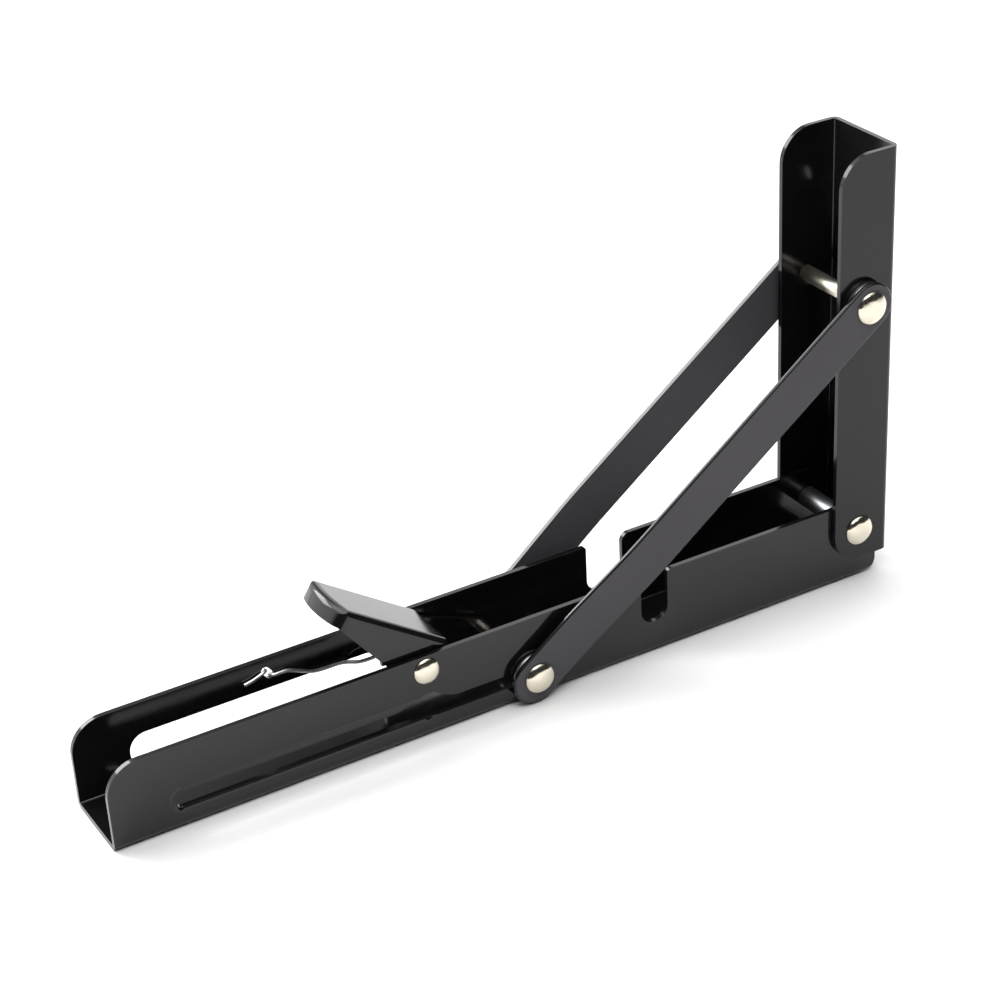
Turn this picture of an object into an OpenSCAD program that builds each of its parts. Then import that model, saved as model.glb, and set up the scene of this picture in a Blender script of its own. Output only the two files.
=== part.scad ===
// Folding shelf bracket, 300 mm class, pressed and folded steel sheet.
// It lies as it is photographed: the shelf arm's web is down and the wall channel stands up.
// X runs from the arm's free end to the wall, Y across the bracket, Z up.
// The origin is under the middle of the whole bracket, on the shelf face.

/* [Overall] */
// Reach from the wall face to the arm's free end
reach = 301; // [297:1:305]
// Thickness of the black sheet
sheet_t = 1.8; // [1.6:0.1:2]
// Outside radius of a fold
bend_r = 2.6; // [2.4:0.1:3]

/* [Shelf arm] */
// Width over the arm's flanges
arm_w = 30.6; // [30.4:0.1:30.8]
// Height of the arm's flanges
arm_h = 31; // [30.6:0.1:31.4]
// Radius of the flanges' top corner at the free end
arm_corner_r = 11.5; // [8:0.5:14]
// Length of the arm past the hinge, towards the wall
arm_tail = 9.2; // [8.6:0.1:9.6]
// Width of the near notch that takes the rod when folded
notch_w = 10.8; // [10.4:0.1:11.4]
// Extra width of the far notch, towards the free end
notch_extra = 3.7; // [0:0.1:5]
// Height of the notches' floor above the shelf face
notch_floor = 12.3; // [11:0.1:14]

/* [Guide slot] */
// Height of the slot's centre line above the shelf face
slot_z = 9.6; // [9.2:0.1:10]
// Height of the slot
slot_h = 5.2; // [5.1:0.1:5.6]
// Slot's travel past the folded pin
slot_spare = 7.8; // [5:0.1:8.4]
// Depth that the near slot's lip is pressed in
lip_press = 1.2; // [0.8:0.1:1.4]
// Height of the far window's top edge above the shelf face
window_top = 19.6; // [17:0.1:20.4]

/* [Wall channel] */
// Width over the wall channel's flanges
wall_w = 34.8; // [34.7:0.1:35.4]
// Height of the wall channel's top end above the shelf face
wall_top = 163; // [155:1:170]
// Distance from the wall face to the flanges' front edge
wall_depth = 23.6; // [22:0.1:24]
// Radius of the flanges' top front corner
wall_corner_r = 12; // [8:0.5:14]

/* [Linkage] */
// Height of the hinge above the shelf face
hinge_z = 20.4; // [20.2:0.1:20.8]
// Distance from the hinge to the wall face
hinge_to_wall = 13.1; // [12.8:0.1:13.4]
// Distance from the hinge up to the wall rod
rod_rise = 88.4; // [86:0.1:88.5]
// Distance from the hinge back to the slide pin
pin_back = 135; // [131:0.5:137]
// Width of a strut
strut_w = 17.2; // [16:0.1:17.6]
// Gap between the wall channel and a strut
strut_gap = 2; // [1.8:0.1:2.4]

/* [Release lever] */
// Distance from the hinge back to the lever's rivet
lever_back = 175; // [173:0.5:177]
// Height of the lever's rivet above the shelf face
lever_z = 25.2; // [24.8:0.1:25.6]
// Slope of the thumb plate
lever_tilt = 34; // [33:1:36]
// Distance from the lever's rivet to the thumb plate's tip
lever_len = 38; // [34:0.1:42]
// Width over the lever's cheeks
lever_w = 25.8; // [25:0.1:26]

/* [Screw holes] */
// Diameter of the screw holes
screw_d = 5.5; // [4.8:0.1:6.4]
// Height of the wall channel's lowest screw hole
wall_hole_low = 58; // [50:1:62]
// Distance between the wall channel's three screw holes
wall_hole_pitch = 40; // [36:1:44]
// Distance from the free end to the arm's screw hole there
arm_hole_end = 17; // [14:1:20]
// Distance from the hinge to the arm's last screw hole
arm_hole_hinge = 30; // [24:1:34]
// Distance between the two holes near the hinge
arm_hole_pitch_hinge = 80; // [60:1:88]

/* [Hidden] */
$fn = 96;
eps = 0.02;
paint = [0.10, 0.10, 0.105];
nickel = [0.80, 0.77, 0.70];
zinc = [0.68, 0.69, 0.70];

// Places along X, from the wall face
wall_x = reach / 2;
free_x = -reach / 2;
hinge_x = wall_x - hinge_to_wall;
pin_x = hinge_x - pin_back;
lever_x = hinge_x - lever_back;
rod_z = hinge_z + rod_rise;
arm_end_x = hinge_x + arm_tail;

// The struts close the triangle, and the folded pin lies one strut's length from the folded rod
strut_l = sqrt(pow(pin_back, 2) + pow(rod_z - slot_z, 2));
strut_angle = atan2(rod_z - slot_z, pin_back);
folded_rod_x = hinge_x - rod_rise;
folded_pin_x = folded_rod_x - sqrt(pow(strut_l, 2) - pow(hinge_z - slot_z, 2));

// Running gap between parts that turn on each other
running = 0.05;

// Half widths across the bracket
arm_out = arm_w / 2;
arm_in = arm_out - sheet_t;
wall_out = wall_w / 2;
wall_in = wall_out - sheet_t;
strut_high = wall_out + strut_gap;
strut_low = 17.5;
slide_head_y = strut_low + sheet_t + running;
lever_out = lever_w / 2;
lever_in = lever_out - sheet_t;

// Round parts: shank radii, their holes and heads
hinge_shank_r = 2.75;
lever_shank_r = 2.4;
slide_shank_r = 2.5;
rod_head_r = 6;
hinge_head_r = 5.7;
slide_head_r = 5.6;
lever_head_r = 4.8;
lever_head_h = 1.9;
big_head_h = 2.4;
washer_r = 8.2;
sleeve_wall = 1.1;

// The near flange's pressed lip, from the slot's free end to a hump shaped relief by the lever
slot_left = folded_pin_x - slot_spare;
slot_right = pin_x + 0.6;
slot_top = slot_z + slot_h / 2;
lip_end_x = lever_x - 1.5;
lip_z = slot_z + 0.8;
lip_half = 5.7;
lip_edge = 2.7;
notch_x0 = hinge_x - 86 - notch_w / 2;
notch_x1 = hinge_x - 86 + notch_w / 2;
window_left = slot_left - 5.4;
window_right = lever_x - 2;
window_r = 6;
wall_foot_r = 11.4;
wall_foot = hinge_z - wall_foot_r;
spring_hole_x = hinge_x - 218.6;
spring_hole_z = 25.4;

// Lays an outline drawn in the bracket's side view, X and Z, across the bracket
module across(half) {
    rotate([90, 0, 0])
        linear_extrude(2 * half, center = true)
            children();
}

// A round bar or hole across the bracket
module bar(x, z, r, y0, y1) {
    translate([x, y0, z])
        rotate([-90, 0, 0])
            cylinder(h = y1 - y0, r = r);
}

// A U with rounded lower corners
module u_outline(w, h, r) {
    translate([-w / 2, r])
        square([w, h - r]);
    translate([-w / 2 + r, 0])
        square([w - 2 * r, h]);
    for (side = [-1, 1])
        translate([side * (w / 2 - r), r])
            circle(r);
}

// A folded channel along X, with its web at the bottom
module channel(w, h, len) {
    rotate([90, 0, 90])
        linear_extrude(len)
            difference() {
                u_outline(w, h, bend_r);
                translate([0, sheet_t])
                    u_outline(w - 2 * sheet_t, h, bend_r - sheet_t);
            }
}

// A straight slot with round ends, in the side view
module slot_outline(x0, x1, z, h) {
    translate([x0, z - h / 2])
        square([x1 - x0, h]);
    for (x = [x0, x1])
        translate([x, z])
            circle(h / 2);
}

// Side view of the arm: rounded free end, and an end round the hinge that the wall channel clears
module arm_side() {
    hinge_r = arm_h - hinge_z;
    heel_r = 5.5;
    translate([free_x, 0])
        square([arm_corner_r, arm_h - arm_corner_r]);
    translate([free_x + arm_corner_r, 0])
        square([hinge_x - free_x - arm_corner_r, arm_h]);
    translate([free_x + arm_corner_r, arm_h - arm_corner_r])
        circle(arm_corner_r);
    intersection() {
        translate([hinge_x, hinge_z])
            circle(hinge_r);
        translate([hinge_x - hinge_r, hinge_z])
            square([hinge_r + arm_tail, hinge_r]);
    }
    translate([hinge_x - eps, heel_r])
        square([arm_tail + eps, hinge_z - heel_r + eps]);
    translate([hinge_x - eps, 0])
        square([arm_tail - heel_r + eps, heel_r + eps]);
    translate([arm_end_x - heel_r, heel_r])
        circle(heel_r);
}

// Side view of a notch: a U open at the top, with its top corners eased
module notch_side(x0, x1, ease0, ease1) {
    corner = 5;
    translate([x0, notch_floor + corner])
        square([x1 - x0, arm_h]);
    translate([x0 + corner, notch_floor])
        square([x1 - x0 - 2 * corner, 2 * corner]);
    for (x = [x0 + corner, x1 - corner])
        translate([x, notch_floor + corner])
            circle(corner);
    eased_corner(x0, -1, ease0);
    eased_corner(x1, 1, ease1);
}

// What a round of radius r takes off one top corner of a notch, on the side given by 1 or -1
module eased_corner(x, side, r) {
    steps = 8;
    polygon(concat([[x - side * eps, arm_h + 1], [x - side * eps, arm_h - r]],
                   [for (k = [1:steps])
                       let (a = 90 * k / steps)
                           [x + side * r * (1 - cos(a)), arm_h - r + r * sin(a)]],
                   [[x + side * r, arm_h + 1]]));
}

// A slot's dished lip: its sides lean in by the press depth. It lies in a plane facing -Y.
module dish(half_out, half_in, depth) {
    x0 = slot_left;
    x1 = lip_end_x;
    translate([x0, 0, lip_z])
        rotate([-90, 0, 0])
            cylinder(h = depth, r1 = half_out, r2 = half_in);
    translate([x1, 0, lip_z])
        rotate([-90, 0, 0])
            cylinder(h = depth, r1 = half_out, r2 = half_in);
    translate([x0, 0, lip_z])
        rotate([90, 0, 90])
            linear_extrude(x1 - x0)
                polygon([[0, -half_out], [depth, -half_in], [depth, half_in], [0, half_out]]);
}

module shelf_arm() {
    color(paint)
        difference() {
            union() {
                intersection() {
                    translate([free_x, 0, 0])
                        channel(arm_w, arm_h, arm_end_x - free_x);
                    across(arm_w)
                        arm_side();
                }
                // Inner side of the pressed lip, on the near flange
                translate([0, -arm_in - eps, 0])
                    dish(lip_half, lip_edge + 1.2, lip_press + eps);
            }
            // Outer side of the pressed lip
            translate([0, -arm_out - eps, 0])
                dish(lip_half, lip_edge, lip_press + eps);
            translate([0, -arm_out, 0])
                across(4)
                    notch_side(notch_x0, notch_x1, 1.6, 2);
            translate([0, arm_out, 0])
                across(4)
                    notch_side(notch_x0 - notch_extra, notch_x1 + 0.2, 1.2, 3.2);
            across(arm_w)
                slot_outline(slot_left, slot_right, slot_z, slot_h);
            // Relief at the lip's right end, above the near slot only
            translate([0, -arm_out + 2, 0])
                across(4)
                    translate([lever_x, slot_top])
                        polygon(relief_points);
            // Window in the far flange, over the slot
            translate([0, arm_out, 0])
                across(4)
                    far_window();
            // Eye that the spring's wire is stitched through
            translate([0, arm_out, 0])
                across(4)
                    translate([spring_hole_x, spring_hole_z])
                        rotate(-stitch_lean)
                            slot_outline(-stitch_r, stitch_r, 0, eye_w);
            bar(hinge_x, hinge_z, hinge_shank_r + running, -arm_w, arm_w);
            bar(lever_x, lever_z, lever_shank_r, -arm_w, arm_w);
            for (x = arm_hole_xs)
                translate([x, 0, -1])
                    cylinder(h = sheet_t + 2, r = screw_d / 2);
        }
}

// The relief rises slowly from the left to a round crest and falls faster to the slot's edge
relief_points = [[-11, -1.5], [-11, 0], [-9.4, 0.4], [-7.8, 1.1], [-5.3, 2.35], [-3.2, 3.45],
                 [-1.8, 4.0], [-0.4, 4.3], [0.8, 4.35], [2, 4.1], [3.2, 3.5], [4.4, 2.7],
                 [5.5, 1.95], [6.8, 1.2], [8.2, 0.6], [9.6, 0.2], [11, 0], [11, -1.5]];

arm_hole_xs = [free_x + arm_hole_end,
               hinge_x - arm_hole_hinge - arm_hole_pitch_hinge,
               hinge_x - arm_hole_hinge];

module far_window() {
    low = slot_z - slot_h / 2;
    translate([window_left + window_r, low])
        square([window_right - window_left - 2 * window_r, window_top - low]);
    translate([window_left, low + window_r])
        square([window_right - window_left, window_top - low - 2 * window_r]);
    for (x = [window_left + window_r, window_right - window_r])
        for (z = [low + window_r, window_top - window_r])
            translate([x, z])
                circle(window_r);
}

// Side view of the wall channel: round top front corner, and a foot round the hinge
module wall_side() {
    front = wall_x - wall_depth;
    foot_x = front + wall_foot_r;
    translate([front, hinge_z])
        square([wall_depth, wall_top - wall_corner_r - hinge_z]);
    translate([front + wall_corner_r, hinge_z])
        square([wall_depth - wall_corner_r, wall_top - hinge_z]);
    translate([front + wall_corner_r, wall_top - wall_corner_r])
        circle(wall_corner_r);
    translate([foot_x, hinge_z])
        circle(wall_foot_r);
    translate([foot_x, wall_foot])
        square([wall_x - foot_x, wall_foot_r + eps]);
}

module wall_channel() {
    color(paint)
        difference() {
            intersection() {
                translate([wall_x, 0, wall_foot])
                    rotate([0, -90, 0])
                        channel(wall_w, wall_depth, wall_top - wall_foot);
                across(wall_w)
                    wall_side();
            }
            bar(hinge_x, hinge_z, hinge_shank_r, -wall_w, wall_w);
            bar(hinge_x, rod_z, hinge_shank_r, -wall_w, wall_w);
            for (i = [0:2])
                translate([wall_x - sheet_t - 1, 0, wall_hole_low + i * wall_hole_pitch])
                    rotate([0, 90, 0])
                        cylinder(h = sheet_t + 2, r = screw_d / 2);
        }
}

// A strut from the slide pin (X = 0) to the wall rod, which is set off outwards near the pin.
// It lies on the +Y side, from strut_low outwards.
module strut() {
    step = strut_high - strut_low;
    flat = 18;
    rise = 52;
    difference() {
        intersection() {
            linear_extrude(2 * strut_w, center = true)
                polygon([[-strut_w, 0], [flat, 0], [rise, step], [strut_l + strut_w, step],
                         [strut_l + strut_w, step + sheet_t], [rise, step + sheet_t],
                         [flat, sheet_t], [-strut_w, sheet_t]]);
            translate([0, 2, 0])
                across(6)
                    slot_outline(-1.4, strut_l + 0.3, 0, strut_w);
        }
        bar(0, 0, slide_shank_r + running, -1, 9);
        bar(strut_l, 0, slide_shank_r, -1, 9);
    }
}

module far_strut() {
    color(paint)
        translate([pin_x, strut_low, slot_z])
            rotate([0, -strut_angle, 0])
                strut();
}

module near_strut() {
    color(paint)
        mirror([0, 1, 0])
            translate([pin_x, strut_low, slot_z])
                rotate([0, -strut_angle, 0])
                    strut();
}

// A domed rivet head on the plane Z = 0
module head(r, h) {
    rim = 0.5;
    dome = h - rim;
    ball = (r * r + dome * dome) / (2 * dome);
    cylinder(h = rim, r = r);
    intersection() {
        translate([0, 0, rim + dome - ball])
            sphere(ball, $fn = 128);
        cylinder(h = h + 1, r = r);
    }
}

// A head standing out on each side of the bracket
module heads(x, z, r, h, y) {
    for (turn = [90, -90])
        translate([x, turn > 0 ? -y : y, z])
            rotate([turn, 0, 0])
                head(r, h);
}

module hinge_rivet() {
    color(nickel) {
        bar(hinge_x, hinge_z, hinge_shank_r, -wall_out - eps, wall_out + eps);
        heads(hinge_x, hinge_z, hinge_head_r, big_head_h, wall_out);
    }
}

module sleeve(x, z, bore_r, y) {
    difference() {
        bar(x, z, bore_r + sleeve_wall, -y, y);
        bar(x, z, bore_r, -y - 1, y + 1);
    }
}

module hinge_sleeve() {
    color(zinc)
        sleeve(hinge_x, hinge_z, hinge_shank_r, arm_in - 0.1);
}

module lever_rivet() {
    color(nickel) {
        bar(lever_x, lever_z, lever_shank_r, -arm_out - eps, arm_out + eps);
        heads(lever_x, lever_z, lever_head_r, lever_head_h, arm_out);
    }
}

module lever_sleeve() {
    color(zinc)
        sleeve(lever_x, lever_z, lever_shank_r, lever_in - 0.1);
}

module slide_pin() {
    color(nickel) {
        bar(pin_x, slot_z, slide_shank_r, -slide_head_y - eps, slide_head_y + eps);
        heads(pin_x, slot_z, slide_head_r, big_head_h, slide_head_y);
    }
}

module ring(x, z, bore_r, y0, y1) {
    difference() {
        bar(x, z, washer_r, y0, y1);
        bar(x, z, bore_r, y0 - 1, y1 + 1);
    }
}

module far_slide_washer() {
    color(zinc)
        ring(pin_x, slot_z, slide_shank_r, arm_out + 0.15, strut_low - running);
}

module near_slide_washer() {
    mirror([0, 1, 0])
        far_slide_washer();
}

module wall_rod() {
    color(nickel)
        bar(hinge_x, rod_z, hinge_shank_r, -wall_out, wall_out);
}

// The outer end of the wall rod, which turns with the strut that it holds
module far_strut_rivet() {
    color(nickel) {
        bar(hinge_x, rod_z, slide_shank_r, wall_out + 0.1, strut_high + sheet_t + eps);
        translate([hinge_x, strut_high + sheet_t, rod_z])
            rotate([-90, 0, 0])
                head(rod_head_r, big_head_h);
    }
}

module near_strut_rivet() {
    mirror([0, 1, 0])
        far_strut_rivet();
}

module far_strut_washer() {
    color(zinc)
        ring(hinge_x, rod_z, slide_shank_r, wall_out + 0.1, strut_high);
}

module near_strut_washer() {
    mirror([0, 1, 0])
        far_strut_washer();
}

// A point of the lever from its distance along the thumb plate and its height under the plate's slope
function on_lever(along, up) = [-along * cos(lever_tilt) + up * sin(lever_tilt),
                                along * sin(lever_tilt) + up * cos(lever_tilt)];
plate_up = 11.2;
plate_end = -4.5;
lip_up = 4.9;
boss_r = 7.3;
cheek_up = 8;
nose_r = 3.2;
nose_end = pin_x - lever_x - 1.7;
nose_low = slot_z + slide_shank_r + 0.4 - lever_z;

// Side view of the lever: the pan below the thumb plate, a boss round the rivet, and a nose whose
// upright end stops the slide pin. Its upper left runs past the plate, whose block ends it.
module lever_side() {
    circle(boss_r);
    polygon([on_lever(lever_len + 5, plate_up + 2), on_lever(lever_len + 5, lip_up - 1.2),
             on_lever(lever_len, lip_up), on_lever(1.5, -6.8), [0.5, -6.9], [15, nose_low],
             [nose_end, nose_low], [nose_end, nose_low + nose_r], [nose_end - 0.43, nose_low + 4.8],
             [nose_end - 1.6, nose_low + 5.97], [nose_end - nose_r, nose_low + 2 * nose_r],
             on_lever(plate_end, cheek_up), on_lever(plate_end, plate_up + 2)]);
}

module release_lever() {
    color(paint)
        translate([lever_x, 0, lever_z])
            difference() {
                intersection() {
                    across(lever_w)
                        lever_side();
                    rotate([0, lever_tilt, 0])
                        union() {
                            pan_block(lever_len, lever_w, bend_r, plate_up);
                            for (side = [-1, 1])
                                translate([-plate_end, side * (lever_in + lever_out) / 2, 0])
                                    cheek_slab();
                        }
                }
                rotate([0, lever_tilt, 0])
                    pan_block(lever_len - sheet_t, 2 * lever_in, bend_r - sheet_t, plate_up - sheet_t);
                bar(0, 0, lever_shank_r + running, -lever_w, lever_w);
            }
}

// Room for one cheek beyond the thumb plate's end
module cheek_slab() {
    translate([0, -sheet_t / 2, -40])
        cube([60, sheet_t, 80]);
}

// The tip's bowed front edge is an arc round this place along the plate
bow_x = 33.6 - lever_len;
bow = 2.4;

// A long block under the thumb plate's slope, with rounded upper edges and a bowed, rounded tip
module pan_block(front, w, r, up) {
    deep = 40;
    tip_r = r + 0.2;
    back = -plate_end;
    intersection() {
        translate([-front - 5, 0, up])
            mirror([0, 0, 1])
                rotate([90, 0, 90])
                    linear_extrude(front + 5 + back)
                        u_outline(w, deep, r);
        translate([0, 0, -deep])
            linear_extrude(2 * deep)
                tip_outline(front, back, w, r + 1.6);
        translate([bow_x, 0, 0])
            rotate_extrude($fn = 192)
                tip_profile(front + bow_x + bow, deep, tip_r, up);
    }
}

// Plan of the pan: a straight strip whose tip corners are rounded into the bow
module tip_outline(front, back, w, corner) {
    bow_r = front + bow_x + bow;
    side_y = w / 2 + 0.05 - corner;
    turn = asin(side_y / (bow_r - corner));
    corner_x = bow_x - (bow_r - corner) * cos(turn);
    edge = concat([[back + 3, w / 2 + 1], [corner_x, w / 2 + 1]],
                  [for (k = [0:6])
                      let (a = 90 + (90 - turn) * k / 6)
                          [corner_x + corner * cos(a), side_y + corner * sin(a)]],
                  [[bow_x - (bow_r + 4) * cos(turn), (bow_r + 4) * sin(turn)]]);
    polygon(concat(edge, [for (k = [len(edge) - 1:-1:0]) [edge[k][0], -edge[k][1]]]));
}

// Half of the tip's section through the middle of its bow: flat top and a rounded edge
module tip_profile(far, deep, r, up) {
    translate([0, -deep])
        square([far - r, deep + up]);
    translate([0, -deep])
        square([far, deep + up - r]);
    translate([far - r, up - r])
        circle(r);
}

// Spring wire: a coil on the lever's sleeve, a long leg along the far flange that is stitched
// out and back through the eye, and a short leg under the thumb plate
wire_r = 0.65;
coil_r = 4.5;
coil_y0 = 8.9;
coil_y1 = 3.4;
coil_from = -90;
coil_to = 3 * 360 + 90 - lever_tilt;
coil_steps = 60;
leg_y = arm_in - wire_r - 0.1;
stitch_r = 1.28;
stitch_lean = 51;
eye_w = 2.8;
stitch_y = arm_out - 0.5;
stitch = [for (turn = [-90:15:90])
              let (along = stitch_r * sin(turn))
                  [spring_hole_x + along * cos(stitch_lean), stitch_y + stitch_r * cos(turn),
                   spring_hole_z - along * sin(stitch_lean)]];
tail_points = [[spring_hole_x - 9, leg_y - 0.1, 24.4], [spring_hole_x - 6, leg_y - 0.1, 25],
               [spring_hole_x - 3.4, leg_y - 0.1, 25.9], [spring_hole_x - 2.2, leg_y, 26.3],
               [spring_hole_x - 1.3, leg_y + 0.3, 26.4], [spring_hole_x - 0.9, leg_y + 1, 26.4]];
leg_points = [[spring_hole_x + 0.9, leg_y + 1, 24.4], [spring_hole_x + 1.3, leg_y + 0.3, 24.4],
              [spring_hole_x + 2.2, leg_y, 24.4], [spring_hole_x + 4, leg_y, 24.4],
              [hinge_x - 211.5, leg_y, 24.2], [hinge_x - 207, leg_y, 22.3],
              [hinge_x - 203, leg_y, 20.6], [hinge_x - 199, leg_y, 20.1],
              [hinge_x - 193, leg_y, 20], [hinge_x - 190, leg_y - 1, 19.9],
              [hinge_x - 187, coil_y0 + 1, 19.9], [hinge_x - 183, coil_y0 + 0.2, 20.2],
              [hinge_x - 179, coil_y0, 20.6]];
coil_points = [for (i = [0:coil_steps])
                   let (part = i / coil_steps, a = coil_from + part * (coil_to - coil_from))
                       [lever_x + coil_r * cos(a), coil_y0 + part * (coil_y1 - coil_y0),
                        lever_z + coil_r * sin(a)]];
short_leg = [for (along = [4, 10, 16])
                 let (p = on_lever(along, coil_r))
                     [lever_x + p[0], coil_y1, lever_z + p[1]]];
wire_path = concat(tail_points, stitch, leg_points, coil_points, short_leg);

function unit(v) = v / norm(v);
function heading(path, i) = unit(path[min(i + 1, len(path) - 1)] - path[max(i - 1, 0)]);
function square_to(v, dir) = unit(v - (v * dir) * dir);

// A direction square to the wire at each of its points, carried along without twist
function carried(path, i, v) =
    let (next = square_to(v, heading(path, i)))
        i == len(path) - 1 ? [next] : concat([next], carried(path, i + 1, next));
function wire_ring(centre, dir, u, r, sides) =
    [for (k = [0:sides - 1])
        centre + r * (cos(360 * k / sides) * u + sin(360 * k / sides) * cross(dir, u))];

module wire(path, r) {
    sides = 8;
    n = len(path);
    ups = carried(path, 0, [0, 0, 1]);
    points = [for (i = [0:n - 1]) each wire_ring(path[i], heading(path, i), ups[i], r, sides)];
    walls = [for (i = [0:n - 2]) for (k = [0:sides - 1])
                 [i * sides + k, i * sides + (k + 1) % sides,
                  (i + 1) * sides + (k + 1) % sides, (i + 1) * sides + k]];
    first = [for (k = [0:sides - 1]) sides - 1 - k];
    last = [for (k = [0:sides - 1]) (n - 1) * sides + k];
    polyhedron(points, concat([first], walls, [last]));
}

module lever_spring() {
    color(zinc)
        wire(wire_path, wire_r);
}

shelf_arm();
wall_channel();
near_strut();
far_strut();
release_lever();
lever_spring();
lever_rivet();
lever_sleeve();
hinge_rivet();
hinge_sleeve();
slide_pin();
near_slide_washer();
far_slide_washer();
wall_rod();
near_strut_rivet();
far_strut_rivet();
near_strut_washer();
far_strut_washer();
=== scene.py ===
# %% [markdown]
# # A folding shelf bracket, dressed for its portrait
# The bracket is two folded channels of black enamelled steel, joined by a hinge rivet and by a flat strut
# on each side. A sprung lever holds it open. The solids come in as a fixed frame. This lesson gives them
# bevelled edges, domed rivets, turned washers, a wound spring, paint, plating and a studio.

# %% Load the frame
import bpy, bmesh, math
from mathutils import Matrix, Vector


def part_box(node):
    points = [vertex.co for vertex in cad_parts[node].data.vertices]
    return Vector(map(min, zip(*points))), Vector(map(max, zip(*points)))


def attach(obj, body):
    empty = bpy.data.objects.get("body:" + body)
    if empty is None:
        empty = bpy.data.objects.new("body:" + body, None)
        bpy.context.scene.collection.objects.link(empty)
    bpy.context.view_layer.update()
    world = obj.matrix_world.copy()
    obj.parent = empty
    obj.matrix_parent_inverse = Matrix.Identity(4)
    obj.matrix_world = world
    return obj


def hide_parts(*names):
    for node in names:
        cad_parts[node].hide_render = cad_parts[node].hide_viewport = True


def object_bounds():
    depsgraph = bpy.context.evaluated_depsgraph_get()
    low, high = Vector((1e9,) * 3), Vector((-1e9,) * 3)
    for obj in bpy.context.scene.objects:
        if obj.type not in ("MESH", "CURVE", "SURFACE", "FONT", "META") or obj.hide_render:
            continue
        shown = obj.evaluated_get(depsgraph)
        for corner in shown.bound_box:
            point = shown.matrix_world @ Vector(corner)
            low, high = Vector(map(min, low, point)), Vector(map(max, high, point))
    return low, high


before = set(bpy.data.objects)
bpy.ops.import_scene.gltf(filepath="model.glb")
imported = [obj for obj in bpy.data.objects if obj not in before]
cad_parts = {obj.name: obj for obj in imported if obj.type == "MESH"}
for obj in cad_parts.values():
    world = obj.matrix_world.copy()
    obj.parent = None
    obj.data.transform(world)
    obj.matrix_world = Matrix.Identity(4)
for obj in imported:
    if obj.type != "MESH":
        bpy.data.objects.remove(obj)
cad_low, cad_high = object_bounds()
print("CAD box in mm:", [round(1000 * (b - a), 1) for a, b in zip(cad_low, cad_high)])

# %% [markdown]
# ## The camera
# The photograph looks down at about 29 degrees, from the left of the near side, through a long lens. The
# long edges of both channels and the four pivots fixed these numbers. The picture is turned by about
# three degrees, so the camera is built from its own axes and not from a tracking constraint.

# %% Camera
MM = 0.001
camera_place = Vector((-342.4, -618.8, 466.6)) * MM
looked_at = Vector((1.76, 0.0, 69.27)) * MM
roll = math.radians(-3.20)
forward = (looked_at - camera_place).normalized()
level = forward.cross(Vector((0, 0, 1))).normalized()
above = level.cross(forward)
right = math.cos(roll) * level + math.sin(roll) * above
up = -math.sin(roll) * level + math.cos(roll) * above
camera = bpy.data.objects.new("camera", bpy.data.cameras.new("camera"))
bpy.context.scene.collection.objects.link(camera)
camera.matrix_world = Matrix((right, up, -forward)).transposed().to_4x4()
camera.location = camera_place
camera.data.sensor_width = 36.0
camera.data.lens = 88.98
camera.data.clip_start = 0.05
bpy.context.scene.camera = camera
print("camera is", round((looked_at - camera_place).length, 3), "m from the bracket")

# %% [markdown]
# ## Colours and nodes
# Colours are picked as they look on a screen, in sRGB, and the renderer counts light in linear steps, so
# one function turns one into the other. A second one adds a node with its settings and links, for
# materials, for the room and for Geometry Nodes alike.

# %% Helpers for nodes
def linear(hex_colour):
    parts = [int(hex_colour[i:i + 2], 16) / 255 for i in (1, 3, 5)]
    return [p / 12.92 if p <= 0.04045 else ((p + 0.055) / 1.055) ** 2.4 for p in parts] + [1.0]


def add(tree, kind, settings=None, inputs=None):
    """A node of that kind: settings are its properties, inputs are values or the sockets that feed them."""
    node = tree.nodes.new(kind)
    for name, value in (settings or {}).items():
        setattr(node, name, value)
    for name, value in (inputs or {}).items():
        if isinstance(value, bpy.types.NodeSocket):
            tree.links.new(value, node.inputs[name])
        else:
            node.inputs[name].default_value = value
    return node


def new_finish(name):
    """An empty material with its shader, and the object's own coordinates in metres."""
    material = bpy.data.materials.new(name)
    material.use_nodes = True
    tree = material.node_tree
    place = add(tree, "ShaderNodeTexCoord").outputs["Object"]
    return material, tree, tree.nodes["Principled BSDF"], place


# %% [markdown]
# ## Stoved black enamel
# The channels are pressed sheet, dipped in black enamel and baked. That leaves a smooth, glossy skin with
# a faint orange peel: waves about 2 mm across and some microns deep. Black enamel has almost no colour of
# its own. What the eye sees is the room in the clear top of the paint, so the gloss and its small
# unevenness are the whole finish. Baked enamel has an index near 1.5, and here it is 1.46. The wall
# channel is set slightly duller. The struts' broad faces look satin grey in the photograph, so their
# enamel is lighter and rougher with a finer peel, and only their edges have the glossy black.

# %% Black enamel
CLOUD_MM = 30  # patches of slightly different tone, a few centimetres wide


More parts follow.
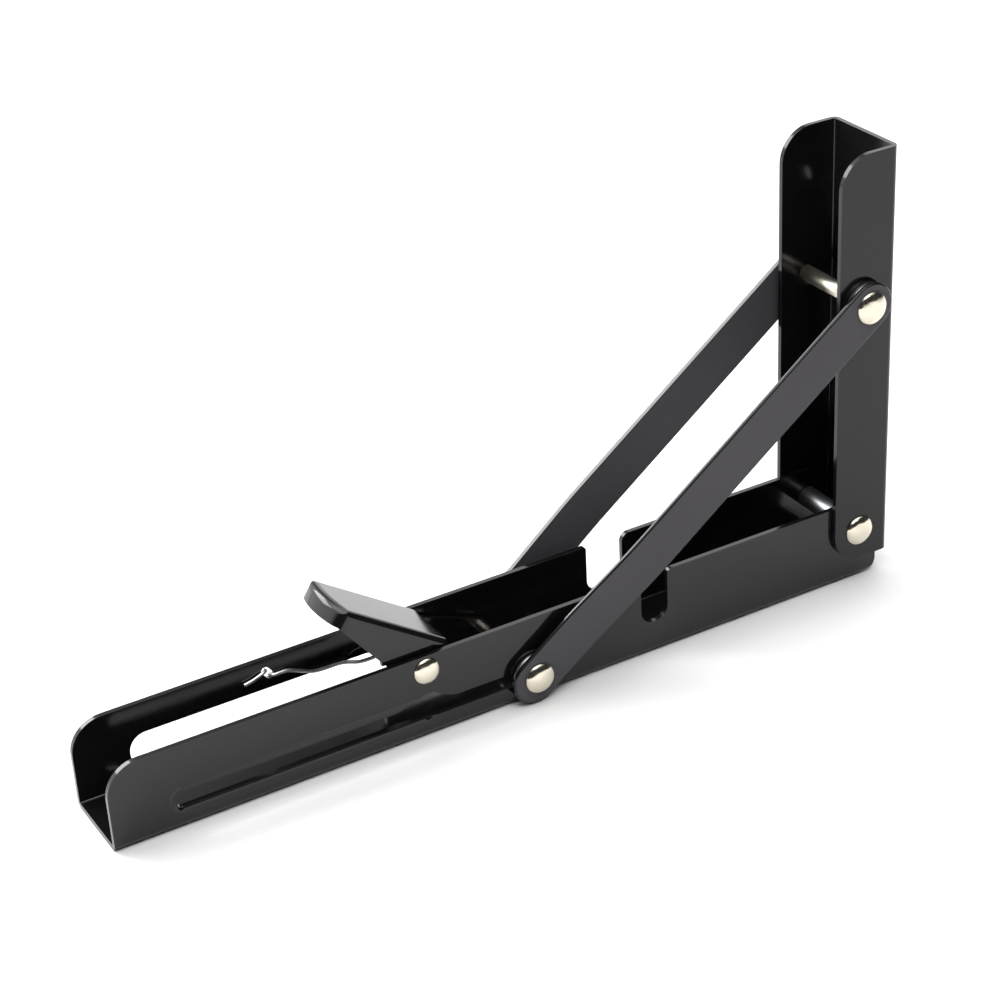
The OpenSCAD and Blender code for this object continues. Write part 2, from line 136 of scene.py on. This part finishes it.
def black_enamel(name, colour, deep_colour, roughness, peel_mm, peel_height_mm, shine=0.5):
    material, tree, shader, place = new_finish(name)
    cloud = add(tree, "ShaderNodeTexNoise", inputs={"Vector": place, "Scale": 1000 / CLOUD_MM, "Detail": 3.0})
    tone = add(tree, "ShaderNodeMix", {"data_type": "RGBA"},
               {"A": linear(colour), "B": linear(deep_colour), "Factor": cloud.outputs["Fac"]})
    gloss = add(tree, "ShaderNodeMapRange",
                inputs={"Value": cloud.outputs["Fac"], "From Min": 0.3, "From Max": 0.7,
                        "To Min": roughness - 0.02, "To Max": roughness + 0.03})
    peel = add(tree, "ShaderNodeTexNoise",
               inputs={"Vector": place, "Scale": 1000 / peel_mm, "Detail": 2.0, "Roughness": 0.45})
    bump = add(tree, "ShaderNodeBump",
               inputs={"Height": peel.outputs["Fac"], "Distance": peel_height_mm * MM, "Strength": 1.0})
    tree.links.new(tone.outputs["Result"], shader.inputs["Base Color"])
    tree.links.new(gloss.outputs["Result"], shader.inputs["Roughness"])
    tree.links.new(bump.outputs["Normal"], shader.inputs["Normal"])
    shader.inputs["IOR"].default_value = 1.46
    shader.inputs["Specular IOR Level"].default_value = shine
    return material


enamel = black_enamel("stoved_black_enamel", "#141314", "#0e0e0e", roughness=0.11, peel_mm=2.2,
                      peel_height_mm=0.006)
wall_enamel = black_enamel("stoved_black_enamel_on_wall_channel", "#141314", "#0e0e0e", roughness=0.13,
                           peel_mm=2.2, peel_height_mm=0.006, shine=0.4)
strut_enamel = black_enamel("stoved_black_enamel_on_strip", "#504e52", "#4b494d", roughness=0.45,
                            peel_mm=0.9, peel_height_mm=0.006, shine=0.1)
print("enamels:", enamel.name, wall_enamel.name, strut_enamel.name)

# %% [markdown]
# ## Plated rivets, pins and washers
# The rivets and the pin are steel with a nickel plate, barrel tumbled, so they are bright but not mirror
# smooth, and warmer than chrome. Shallow dents a few millimetres wide bend their reflections. The rod is
# drawn bar with the same plate, duller and without dents that show. The washers and sleeves are zinc
# plated: cooler, satin and nearly smooth, because a bumpier sleeve showed as bright specks in the narrow
# hinge. The spring is bright drawn wire. Scuffs and dents each have a width and a height in millimetres.
# The heights are what the bump needs to show, not measured ones.

# %% Plated metal
def plated(name, colour, worn_colour, roughness, scuff_mm, scuff_height_mm, dent_mm, dent_height_mm):
    material, tree, shader, place = new_finish(name)
    scuff = add(tree, "ShaderNodeTexNoise",
                inputs={"Vector": place, "Scale": 1000 / scuff_mm, "Detail": 4.0, "Roughness": 0.6})
    tone = add(tree, "ShaderNodeMix", {"data_type": "RGBA"},
               {"A": linear(colour), "B": linear(worn_colour), "Factor": scuff.outputs["Fac"]})
    gloss = add(tree, "ShaderNodeMapRange",
                inputs={"Value": scuff.outputs["Fac"], "From Min": 0.25, "From Max": 0.75,
                        "To Min": roughness - 0.05, "To Max": roughness + 0.09})
    dents = add(tree, "ShaderNodeTexNoise", inputs={"Vector": place, "Scale": 1000 / dent_mm, "Detail": 1.0})
    dented = add(tree, "ShaderNodeBump",
                 inputs={"Height": dents.outputs["Fac"], "Distance": dent_height_mm * MM, "Strength": 1.0})
    bump = add(tree, "ShaderNodeBump",
               inputs={"Height": scuff.outputs["Fac"], "Distance": scuff_height_mm * MM, "Strength": 1.0,
                       "Normal": dented.outputs["Normal"]})
    tree.links.new(tone.outputs["Result"], shader.inputs["Base Color"])
    tree.links.new(gloss.outputs["Result"], shader.inputs["Roughness"])
    tree.links.new(bump.outputs["Normal"], shader.inputs["Normal"])
    shader.inputs["Metallic"].default_value = 1.0
    return material


nickel = plated("tumbled_nickel_plate", "#e4ddcc", "#d0c8b6", roughness=0.14, scuff_mm=1.3,
                scuff_height_mm=0.008, dent_mm=4.5, dent_height_mm=0.35)
bar_nickel = plated("drawn_bar_nickel_plate", "#efe9da", "#e2dbca", roughness=0.34, scuff_mm=1.3,
                    scuff_height_mm=0.001, dent_mm=4.5, dent_height_mm=0.01)
zinc = plated("bright_zinc_plate", "#bfc2c4", "#a9acaf", roughness=0.38, scuff_mm=0.9,
              scuff_height_mm=0.0006, dent_mm=5.0, dent_height_mm=0.01)
spring_steel = plated("drawn_spring_wire", "#f1f1ef", "#dededc", roughness=0.34, scuff_mm=0.7,
                      scuff_height_mm=0.004, dent_mm=3.0, dent_height_mm=0.05)
print("plated metals:", nickel.name, bar_nickel.name, zinc.name, spring_steel.name)

# %% [markdown]
# ## Putting a piece in place
# Each finished mesh stands for a CAD node: it hides that node and rides on a body.
# Its place is in its mesh, so its object stays at the origin.

# %% Helper for placing
def put_in_place(name, mesh, body, slot_name, *nodes):
    """Puts a finished mesh in the scene as a piece that rides on a body and stands for these nodes."""
    piece = bpy.data.objects.new(name, mesh)
    bpy.context.scene.collection.objects.link(piece)
    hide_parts(*nodes)
    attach(piece, body)


# %% [markdown]
# ## Edges of pressed sheet
# No cut edge of painted sheet is sharp: the press rounds one side, and the paint draws a bead over the
# other. The solid's mesh is loose triangles, so a copy of it is merged and its flat faces are joined, and
# then its corners are bevelled. Normals weighted by area keep the large faces flat up to the bevel.
#
# Look out for the clamp. It keeps bevels from overlapping, and it seems to do that by shrinking all of
# them on a piece together. Measured on the finished meshes, only the near strut gets the width asked for
# below. The far strut gets 0.13 mm, the wall channel 0.07 mm and the arm 0.06 mm. The lever gets about a
# thousandth, which doesn't show and leaves tiny faces. A way out, not tried here, is to bevel only the
# long corners and without the clamp.

# %% Bevelled copies of the solids
MERGE_M = 1e-6  # points closer than this are one
FLAT_DEG = 0.06  # faces that turn less than this are one flat face
FOLD_DEG = (1.5, 12)  # a slight fold across a strip
CORNER_DEG = 28  # edges that turn more than this are bevelled
SHARP_DEG = 40  # edges that turn more than this stay crisp in the shading
ANY_DEG = 181  # more than two faces can turn
BROAD_Y = 0.97  # a face whose normal has less of Y than this is an edge and not a broad face
FOLDED_Y = 0.9  # the broad faces beside a fold lie a little askew, so they need less


def turned_edges(work, least, most=ANY_DEG):
    """The edges where two faces meet at an angle between these, in degrees."""
    return [e for e in work.edges if len(e.link_faces) == 2
            and math.radians(least) < e.calc_face_angle() < math.radians(most)]


def merged_copy(node):
    """A CAD node's mesh with its points merged and its flat faces joined."""
    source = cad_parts[node]
    work = bmesh.new()
    work.from_mesh(source.data)
    work.transform(source.matrix_world)
    bmesh.ops.remove_doubles(work, verts=work.verts, dist=MERGE_M)
    bmesh.ops.dissolve_limit(work, angle_limit=math.radians(FLAT_DEG), verts=work.verts, edges=work.edges)
    return work


def evened(node, mesh):
    """A plain copy of a mesh with its normals weighted by area."""
    rough = bpy.data.objects.new(node + "_rough", mesh)
    bpy.context.scene.collection.objects.link(rough)
    even = rough.modifiers.new("even", "WEIGHTED_NORMAL")
    even.keep_sharp = True
    seen = bpy.context.evaluated_depsgraph_get()
    even_mesh = bpy.data.meshes.new_from_object(rough.evaluated_get(seen), depsgraph=seen)
    bpy.data.objects.remove(rough)
    return even_mesh


def soften(node, body, finish, round_mm, fold_mm=0.0, edge_finish=None):
    """Replaces a CAD node by a copy with its corners bevelled, by round_mm at most. A fold_mm eases the
    slight folds on the broad faces, and an edge_finish goes on all faces but the broad ones."""
    work = merged_copy(node)
    if fold_mm:
        folds = [e for e in turned_edges(work, *FOLD_DEG)
                 if all(abs(f.normal.y) > FOLDED_Y for f in e.link_faces)]
        bmesh.ops.bevel(work, geom=folds, offset=fold_mm * MM, segments=5, profile=0.5, affect="EDGES",
                        clamp_overlap=False)
    bmesh.ops.bevel(work, geom=turned_edges(work, CORNER_DEG), offset=round_mm * MM, segments=3,
                    profile=0.5, affect="EDGES", clamp_overlap=True)
    for edge in turned_edges(work, SHARP_DEG):
        edge.smooth = False
    for face in work.faces:
        face.smooth = True
        if edge_finish and abs(face.normal.y) < BROAD_Y:
            face.material_index = 1
    mesh = bpy.data.meshes.new(node + "_soft")
    work.to_mesh(mesh)
    work.free()
    for one in filter(None, (finish, edge_finish)):
        mesh.materials.append(one)
    mesh = evened(node, mesh)
    print(node, "has", len(mesh.polygons), "faces")
    put_in_place(node + "_dressed", mesh, body, "black_paint", node)


soften("shelf_arm", "arm", enamel, 0.55)
soften("wall_channel", "wall", wall_enamel, 0.55)
soften("release_lever", "lever", enamel, 0.45)
for strip in ("near_strut", "far_strut"):
    soften(strip, "struts", strut_enamel, 0.70, fold_mm=5.0, edge_finish=enamel)

# %% [markdown]
# ## Growing pieces with Geometry Nodes
# Rivets, washers and the spring repeat one shape or follow a path, so a small node tree grows each kind
# from a few points. Its sizes are named inputs. The result becomes a plain mesh, because instances and
# live modifiers would be lost when the model is exported.

# %% Helpers for Geometry Nodes
SOCKETS = {int: "NodeSocketInt", float: "NodeSocketFloat", tuple: "NodeSocketVector"}


def new_tree(name, sizes):
    """A node tree that takes a geometry, these sizes, in metres, and a finish as its last input."""
    tree = bpy.data.node_groups.new(name, "GeometryNodeTree")
    tree.interface.new_socket("Geometry", in_out="INPUT", socket_type="NodeSocketGeometry")
    for label, start in sizes.items():
        socket = tree.interface.new_socket(label, in_out="INPUT", socket_type=SOCKETS[type(start)])
        socket.default_value = start
    tree.interface.new_socket("Finish", in_out="INPUT", socket_type="NodeSocketMaterial")
    tree.interface.new_socket("Geometry", in_out="OUTPUT", socket_type="NodeSocketGeometry")
    return tree, add(tree, "NodeGroupInput").outputs


def end_tree(tree, given, geometry):
    """Makes instances real, sets the finish and hands the geometry out."""
    real = add(tree, "GeometryNodeRealizeInstances", inputs={"Geometry": geometry})
    dressed = add(tree, "GeometryNodeSetMaterial",
                  inputs={"Geometry": real.outputs["Geometry"], "Material": given["Finish"]})
    add(tree, "NodeGroupOutput", inputs={"Geometry": dressed.outputs["Geometry"]})
    return tree


def grown(name, tree, points, edges, sizes):
    """The plain mesh that a tree grows from these points, with its faces outwards."""
    start = bpy.data.meshes.new(name + "_points")
    start.from_pydata(points, edges, [])
    grower = bpy.data.objects.new(name + "_points", start)
    bpy.context.scene.collection.objects.link(grower)
    modifier = grower.modifiers.new("grow", "NODES")
    modifier.node_group = tree
    for item in tree.interface.items_tree:
        if item.in_out == "INPUT" and item.name in sizes:
            modifier[item.identifier] = sizes[item.name]
    seen = bpy.context.evaluated_depsgraph_get()
    mesh = bpy.data.meshes.new_from_object(grower.evaluated_get(seen), depsgraph=seen)
    bpy.data.objects.remove(grower)
    work = bmesh.new()
    work.from_mesh(mesh)
    if work.calc_volume(signed=True) < 0:
        bmesh.ops.reverse_faces(work, faces=work.faces)
    work.to_mesh(mesh)
    work.free()
    print(name, "has", len(mesh.polygons), "faces")
    return mesh


def middle(node):
    low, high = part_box(node)
    return (Vector(low) + Vector(high)) / 2


# %% [markdown]
# ## Domed rivets
# A rivet is a bar whose ends are spun into domes. The machine leaves a dome that is nearly half an
# ellipse, steep at its foot, and that steep foot gives the bright crescent low on each head. The tree
# presses the lower half of a ball flat, stands one dome on each given point with its crown away from
# the bracket's middle, and runs the bar between them.

# %% Rivet tree
def rivet_tree():
    tree, given = new_tree("domed_rivet", {"Segments": 64, "Head Radius": 0.006, "Head Height": 0.0024,
                                           "Bar Radius": 0.0025, "Bar Length": 0.03,
                                           "Bar Middle": (0.0, 0.0, 0.0)})
    ball = add(tree, "GeometryNodeMeshUVSphere",
               inputs={"Segments": given["Segments"], "Rings": 32, "Radius": 1.0})
    spot = add(tree, "ShaderNodeSeparateXYZ",
               inputs={"Vector": add(tree, "GeometryNodeInputPosition").outputs["Position"]})
    lifted = add(tree, "ShaderNodeMath", {"operation": "MAXIMUM"}, {0: spot.outputs["Z"], 1: 0.0})
    pressed = add(tree, "ShaderNodeCombineXYZ")
    for side, share, size in (("X", spot.outputs["X"], "Head Radius"),
                              ("Y", spot.outputs["Y"], "Head Radius"),
                              ("Z", lifted.outputs[0], "Head Height")):
        scaled = add(tree, "ShaderNodeMath", {"operation": "MULTIPLY"}, {0: share, 1: given[size]})
        tree.links.new(scaled.outputs[0], pressed.inputs[side])
    dome = add(tree, "GeometryNodeSetPosition",
               inputs={"Geometry": ball.outputs["Mesh"], "Position": pressed.outputs["Vector"]})
    facing = add(tree, "ShaderNodeSeparateXYZ",
                 inputs={"Vector": add(tree, "GeometryNodeInputNormal").outputs["Normal"]})
    # All of a dome but its flat underside is shaded smooth.
    crown = add(tree, "FunctionNodeCompare", {"data_type": "FLOAT", "operation": "GREATER_THAN"},
                {"A": facing.outputs["Z"], "B": -0.5})
    smooth = add(tree, "GeometryNodeSetShadeSmooth",
                 inputs={"Geometry": dome.outputs["Geometry"], "Selection": crown.outputs["Result"]})
    point_y = add(tree, "ShaderNodeSeparateXYZ",
                  inputs={"Vector": add(tree, "GeometryNodeInputPosition").outputs["Position"]})
    outwards = add(tree, "ShaderNodeCombineXYZ", inputs={"Y": point_y.outputs["Y"]})
    aim = add(tree, "FunctionNodeAlignRotationToVector", {"axis": "Z"},
              {"Vector": outwards.outputs["Vector"]})
    heads = add(tree, "GeometryNodeInstanceOnPoints",
                inputs={"Points": given["Geometry"], "Instance": smooth.outputs["Geometry"],
                        "Rotation": aim.outputs["Rotation"]})
    bar = add(tree, "GeometryNodeMeshCylinder",
              inputs={"Vertices": given["Segments"], "Radius": given["Bar Radius"],
                      "Depth": given["Bar Length"]})
    round_bar = add(tree, "GeometryNodeSetShadeSmooth",
                    inputs={"Geometry": bar.outputs["Mesh"], "Selection": bar.outputs["Side"]})
    laid_bar = add(tree, "GeometryNodeTransform",
                   inputs={"Geometry": round_bar.outputs["Geometry"], "Translation": given["Bar Middle"],
                           "Rotation": (math.radians(90), 0.0, 0.0)})
    whole = add(tree, "GeometryNodeJoinGeometry")
    tree.links.new(heads.outputs["Instances"], whole.inputs["Geometry"])
    tree.links.new(laid_bar.outputs["Geometry"], whole.inputs["Geometry"])
    return end_tree(tree, given, whole.outputs["Geometry"])


# %% [markdown]
# ## Five rivets
# The hinge rivet, the slide pin and the lever's rivet have a head at each end. The struts' upper rivets
# have one, on the outside, because their bar ends at the rod across the wall channel.

# %% Rivets
domed_rivet = rivet_tree()
# Body, height of a head and radius of the bar, both in millimetres.
RIVETS = {"hinge_rivet": ("wall", 2.4, 2.75), "slide_pin": ("slider", 2.4, 2.5),
          "lever_rivet": ("arm", 1.9, 2.4), "near_strut_rivet": ("struts", 2.4, 2.5),
          "far_strut_rivet": ("struts", 2.4, 2.5)}
for node, (body, head_mm, bar_mm) in RIVETS.items():
    low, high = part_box(node)
    centre = middle(node)
    height = head_mm * MM
    feet = [low[1] + height, high[1] - height]
    ends = list(feet)
    if centre.y < -MM:
        feet, ends = feet[:1], [feet[0], high[1]]
    elif centre.y > MM:
        feet, ends = feet[1:], [low[1], feet[1]]
    sizes = {"Head Radius": (high[0] - low[0]) / 2, "Head Height": height, "Bar Radius": bar_mm * MM,
             "Bar Length": abs(ends[0] - ends[1]),
             "Bar Middle": (centre.x, (ends[0] + ends[1]) / 2, centre.z), "Finish": nickel}
    print(node, "heads at", [round(y / MM, 2) for y in feet], "bar", round(sizes["Bar Length"] / MM, 2))
    mesh = grown(node, domed_rivet, [(centre.x, y, centre.z) for y in feet], [], sizes)
    put_in_place(node + "_domed", mesh, body, "nickel", node)

# %% [markdown]
# ## Turned rings and the wall rod
# Washers and sleeves are rings with broken edges: a small rounded rectangle swept round a circle, with
# its bore, rim and edge round as sizes. The slide pin's washers have rims that are nearly full rounds,
# which gives them the pale crescent by the strut's end. The rod across the wall channel is bar stock, so
# the rivet tree grows it with no heads on it.

# %% Ring tree
def ring_tree():
    tree, given = new_tree("turned_ring", {"Steps": 96, "Bore Radius": 0.0025, "Outer Radius": 0.008,
                                           "Width": 0.001, "Edge Round": 0.0002,
                                           "Middle": (0.0, 0.0, 0.0)})
    span = add(tree, "ShaderNodeMath", {"operation": "ADD"},
               {0: given["Bore Radius"], 1: given["Outer Radius"]})
    halfway = add(tree, "ShaderNodeMath", {"operation": "MULTIPLY"}, {0: span.outputs[0], 1: 0.5})
    wall = add(tree, "ShaderNodeMath", {"operation": "SUBTRACT"},
               {0: given["Outer Radius"], 1: given["Bore Radius"]})
    path = add(tree, "GeometryNodeCurvePrimitiveCircle", {"mode": "RADIUS"},
               {"Resolution": given["Steps"], "Radius": halfway.outputs[0]})
    section = add(tree, "GeometryNodeCurvePrimitiveQuadrilateral", {"mode": "RECTANGLE"},
                  {"Width": wall.outputs[0], "Height": given["Width"]})
    eased = add(tree, "GeometryNodeFilletCurve", {"mode": "POLY"},
                {"Curve": section.outputs["Curve"], "Count": 3, "Radius": given["Edge Round"]})
    ring = add(tree, "GeometryNodeCurveToMesh",
               inputs={"Curve": path.outputs["Curve"], "Profile Curve": eased.outputs["Curve"]})
    laid = add(tree, "GeometryNodeTransform",
               inputs={"Geometry": ring.outputs["Mesh"], "Translation": given["Middle"],
                       "Rotation": (math.radians(90), 0.0, 0.0)})
    smooth = add(tree, "GeometryNodeSetShadeSmooth", inputs={"Geometry": laid.outputs["Geometry"]})
    return end_tree(tree, given, smooth.outputs["Geometry"])


# %% Washers, sleeves and rod
turned_ring = ring_tree()
# Body, radius of the bore and round of the edges, both in millimetres.
RINGS = {"near_slide_washer": ("slider", 2.5, 0.9), "far_slide_washer": ("slider", 2.5, 0.9),
         "near_strut_washer": ("struts", 2.5, 0.3), "far_strut_washer": ("struts", 2.5, 0.3),
         "lever_sleeve": ("arm", 2.4, 0.25), "hinge_sleeve": ("wall", 2.75, 0.25)}
for node, (body, bore_mm, edge_mm) in RINGS.items():
    low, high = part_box(node)
    sizes = {"Bore Radius": bore_mm * MM, "Outer Radius": (high[0] - low[0]) / 2, "Width": high[1] - low[1],
             "Edge Round": edge_mm * MM, "Middle": tuple(middle(node)), "Finish": zinc}
    mesh = grown(node, turned_ring, [(0, 0, 0)], [], sizes)
    put_in_place(node + "_turned", mesh, body, "zinc", node)

low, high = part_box("wall_rod")
rod = grown("wall_rod", domed_rivet, [], [],
            {"Bar Radius": (high[0] - low[0]) / 2, "Bar Length": high[1] - low[1],
             "Bar Middle": tuple(middle("wall_rod")), "Finish": bar_nickel})
put_in_place("wall_rod_turned", rod, "wall", "nickel", "wall_rod")

# %% [markdown]
# ## The lever's spring
# One length of 1.3 mm spring wire is wound about three and a half times on the lever's sleeve. Its long
# leg runs along the far flange and is stitched out and back through an eye, which anchors it, and its
# short leg presses up under the thumb plate. The path is the one the solid follows, in millimetres. The
# tree runs it through a smooth curve, so that the bends are drawn and not kinked.

# %% Path of the wire
PLATE_SLOPE = math.radians(34)
WIRE_RADIUS = 0.65
COIL_RADIUS = 4.5
COIL_START, COIL_END, COIL_STEPS = 8.9, 3.4, 60
EYE_SLOPE = math.radians(51)
EYE_RADIUS, EYE_MIDDLE = 1.28, 14.8
hinge_x = middle("hinge_sleeve").x / MM
lever_x, _, lever_z = (v / MM for v in middle("lever_sleeve"))
inside = 15.3 - 1.8 - WIRE_RADIUS - 0.1  # half the arm, its sheet, half the wire and a little air
eye_x, eye_z = hinge_x - 218.6, 25.4
tail = [(eye_x - 9, inside - 0.1, 24.4), (eye_x - 6, inside - 0.1, 25), (eye_x - 3.4, inside - 0.1, 25.9),
        (eye_x - 2.2, inside, 26.3), (eye_x - 1.3, inside + 0.3, 26.4), (eye_x - 0.9, inside + 1, 26.4)]
stitch = [(eye_x + EYE_RADIUS * math.sin(math.radians(a)) * math.cos(EYE_SLOPE),
           EYE_MIDDLE + EYE_RADIUS * math.cos(math.radians(a)),
           eye_z - EYE_RADIUS * math.sin(math.radians(a)) * math.sin(EYE_SLOPE)) for a in range(-90, 91, 15)]
leg = [(eye_x + 0.9, inside + 1, 24.4), (eye_x + 1.3, inside + 0.3, 24.4), (eye_x + 2.2, inside, 24.4),
       (eye_x + 4, inside, 24.4), (hinge_x - 211.5, inside, 24.2), (hinge_x - 207, inside, 22.3),
       (hinge_x - 203, inside, 20.6), (hinge_x - 199, inside, 20.1), (hinge_x - 193, inside, 20),
       (hinge_x - 190, inside - 1, 19.9), (hinge_x - 187, 9.9, 19.9), (hinge_x - 183, 9.1, 20.2),
       (hinge_x - 179, 8.9, 20.6)]
coil = []
for step in range(COIL_STEPS + 1):
    part = step / COIL_STEPS
    angle = math.radians(-90 + part * (3 * 360 + 180 - math.degrees(PLATE_SLOPE)))
    coil.append((lever_x + COIL_RADIUS * math.cos(angle), COIL_START - (COIL_START - COIL_END) * part,
                 lever_z + COIL_RADIUS * math.sin(angle)))
short = [(lever_x - along * math.cos(PLATE_SLOPE) + COIL_RADIUS * math.sin(PLATE_SLOPE), COIL_END,
          lever_z + along * math.sin(PLATE_SLOPE) + COIL_RADIUS * math.cos(PLATE_SLOPE))
         for along in (4, 10, 16)]
wire_path = [Vector(p) * MM for p in tail + stitch + leg + coil + short]
print("wire path has", len(wire_path), "points and is",
      round(sum((b - a).length for a, b in zip(wire_path, wire_path[1:])) / MM), "mm long")


# %% Wire tree and spring
def wire_tree():
    tree, given = new_tree("drawn_wire", {"Wire Radius": 0.00065, "Sides": 16, "Step": 0.0006})
    line = add(tree, "GeometryNodeMeshToCurve", inputs={"Mesh": given["Geometry"]})
    bent = add(tree, "GeometryNodeCurveSplineType", {"spline_type": "CATMULL_ROM"},
               {"Curve": line.outputs["Curve"]})
    even = add(tree, "GeometryNodeResampleCurve", {"mode": "LENGTH"},
               {"Curve": bent.outputs["Curve"], "Length": given["Step"]})
    section = add(tree, "GeometryNodeCurvePrimitiveCircle", {"mode": "RADIUS"},
                  {"Resolution": given["Sides"], "Radius": given["Wire Radius"]})
    wire = add(tree, "GeometryNodeCurveToMesh",
               inputs={"Curve": even.outputs["Curve"], "Profile Curve": section.outputs["Curve"],
                       "Fill Caps": True})
    smooth = add(tree, "GeometryNodeSetShadeSmooth", inputs={"Geometry": wire.outputs["Mesh"]})
    return end_tree(tree, given, smooth.outputs["Geometry"])


spring = grown("lever_spring", wire_tree(), wire_path, [(i, i + 1) for i in range(len(wire_path) - 1)],
               {"Wire Radius": WIRE_RADIUS * MM, "Finish": spring_steel})
put_in_place("lever_spring_wound", spring, "arm", "spring_wire", "lever_spring")

# %% [markdown]
# ## Studio
# The photograph is a cut-out on white, and its black paint shows the room it stood in. The bracket gets
# a room that gives the same reflections: a plain pale floor, a light behind that whitens the thumb plate,
# a large one above and one in front. The room itself is dark low down. It is bright near the top, and
# behind the bracket stand two pale screens with a narrow dark gap. The dark parts draw the black lines
# beside the bright edges.

# %% Floor
FLOOR_REACH = 10.0
corner = [(-1, -1), (1, -1), (1, 1), (-1, 1)]
floor_mesh = bpy.data.meshes.new("floor")
floor_mesh.from_pydata([(x * FLOOR_REACH, y * FLOOR_REACH, 0) for x, y in corner], [], [(0, 1, 2, 3)])
floor = bpy.data.objects.new("floor", floor_mesh)
bpy.context.scene.collection.objects.link(floor)
floor.location.z = cad_low[2] - 0.3 * MM
paper, _, shader, _ = new_finish("white_paper")
shader.inputs["Base Color"].default_value = linear("#f4f4f4")
shader.inputs["Roughness"].default_value = 0.9
floor_mesh.materials.append(paper)
print("floor lies at", round(floor.location.z / MM, 2), "mm")


# %% Lights
def softbox(name, place, aim, wide, tall, watts):
    light = bpy.data.objects.new(name, bpy.data.lights.new(name, "AREA"))
    light.data.shape = "RECTANGLE"
    light.data.size, light.data.size_y = wide, tall
    light.data.energy = watts
    light.location = place
    light.rotation_euler = (Vector(aim) - Vector(place)).to_track_quat("-Z", "Y").to_euler()
    bpy.context.scene.collection.objects.link(light)
    print(name, "has", watts, "W")


softbox("back_light", (-0.68, 1.28, 0.95), (0, 0, 0.05), wide=1.1, tall=0.7, watts=21)
softbox("top_light", (0.0, 0.3, 2.2), (0, 0, 0), wide=2.6, tall=2.4, watts=28)
softbox("front_light", (-0.2, -1.2, 2.3), (0, 0, 0.05), wide=1.6, tall=1.0, watts=22)

# %% [markdown]
# ## The room around the lights
# Each ramp is a smooth change of brightness with one part of the direction that a ray looks in: Z is up,
# Y is behind the bracket and X is to its right. The ramps in X draw the screens and are added up, the
# ramp in Y keeps them to the back, and the ceiling is added last.

# %% Room
world = bpy.data.worlds.new("room")
world.use_nodes = True
sky = world.node_tree
bearing = add(sky, "ShaderNodeSeparateXYZ",
              inputs={"Vector": add(sky, "ShaderNodeTexCoord").outputs["Generated"]})
RAMPS = {"ceiling": ("Z", 0.62, 0.85, 0.04, 0.9), "behind": ("Y", 0.15, 0.5, 0.0, 1.0),
         "left screen": ("X", -0.1, 0.25, 1.2, 0.0), "left screen's edge": ("X", 0.25, 0.36, 0.6, 0.0),
         "right screen": ("X", 0.34, 0.40, 0.0, 1.8)}
ramp = {}
for name, (direction, start, end, first, last) in RAMPS.items():
    ramp[name] = add(sky, "ShaderNodeMapRange", {"interpolation_type": "SMOOTHSTEP"},
                     {"Value": bearing.outputs[direction], "From Min": start, "From Max": end,
                      "To Min": first, "To Max": last}).outputs[0]
bright = ramp["left screen"]
for operation, name in (("ADD", "left screen's edge"), ("ADD", "right screen"), ("MULTIPLY", "behind"),
                        ("ADD", "ceiling")):
    bright = add(sky, "ShaderNodeMath", {"operation": operation}, {0: bright, 1: ramp[name]}).outputs[0]
sky.links.new(bright, sky.nodes["Background"].inputs["Strength"])
sky.nodes["Background"].inputs["Color"].default_value = linear("#ffffff")
bpy.context.scene.world = world
bpy.context.scene.view_settings.view_transform = "Standard"
print("the room has", len(ramp), "ramps")
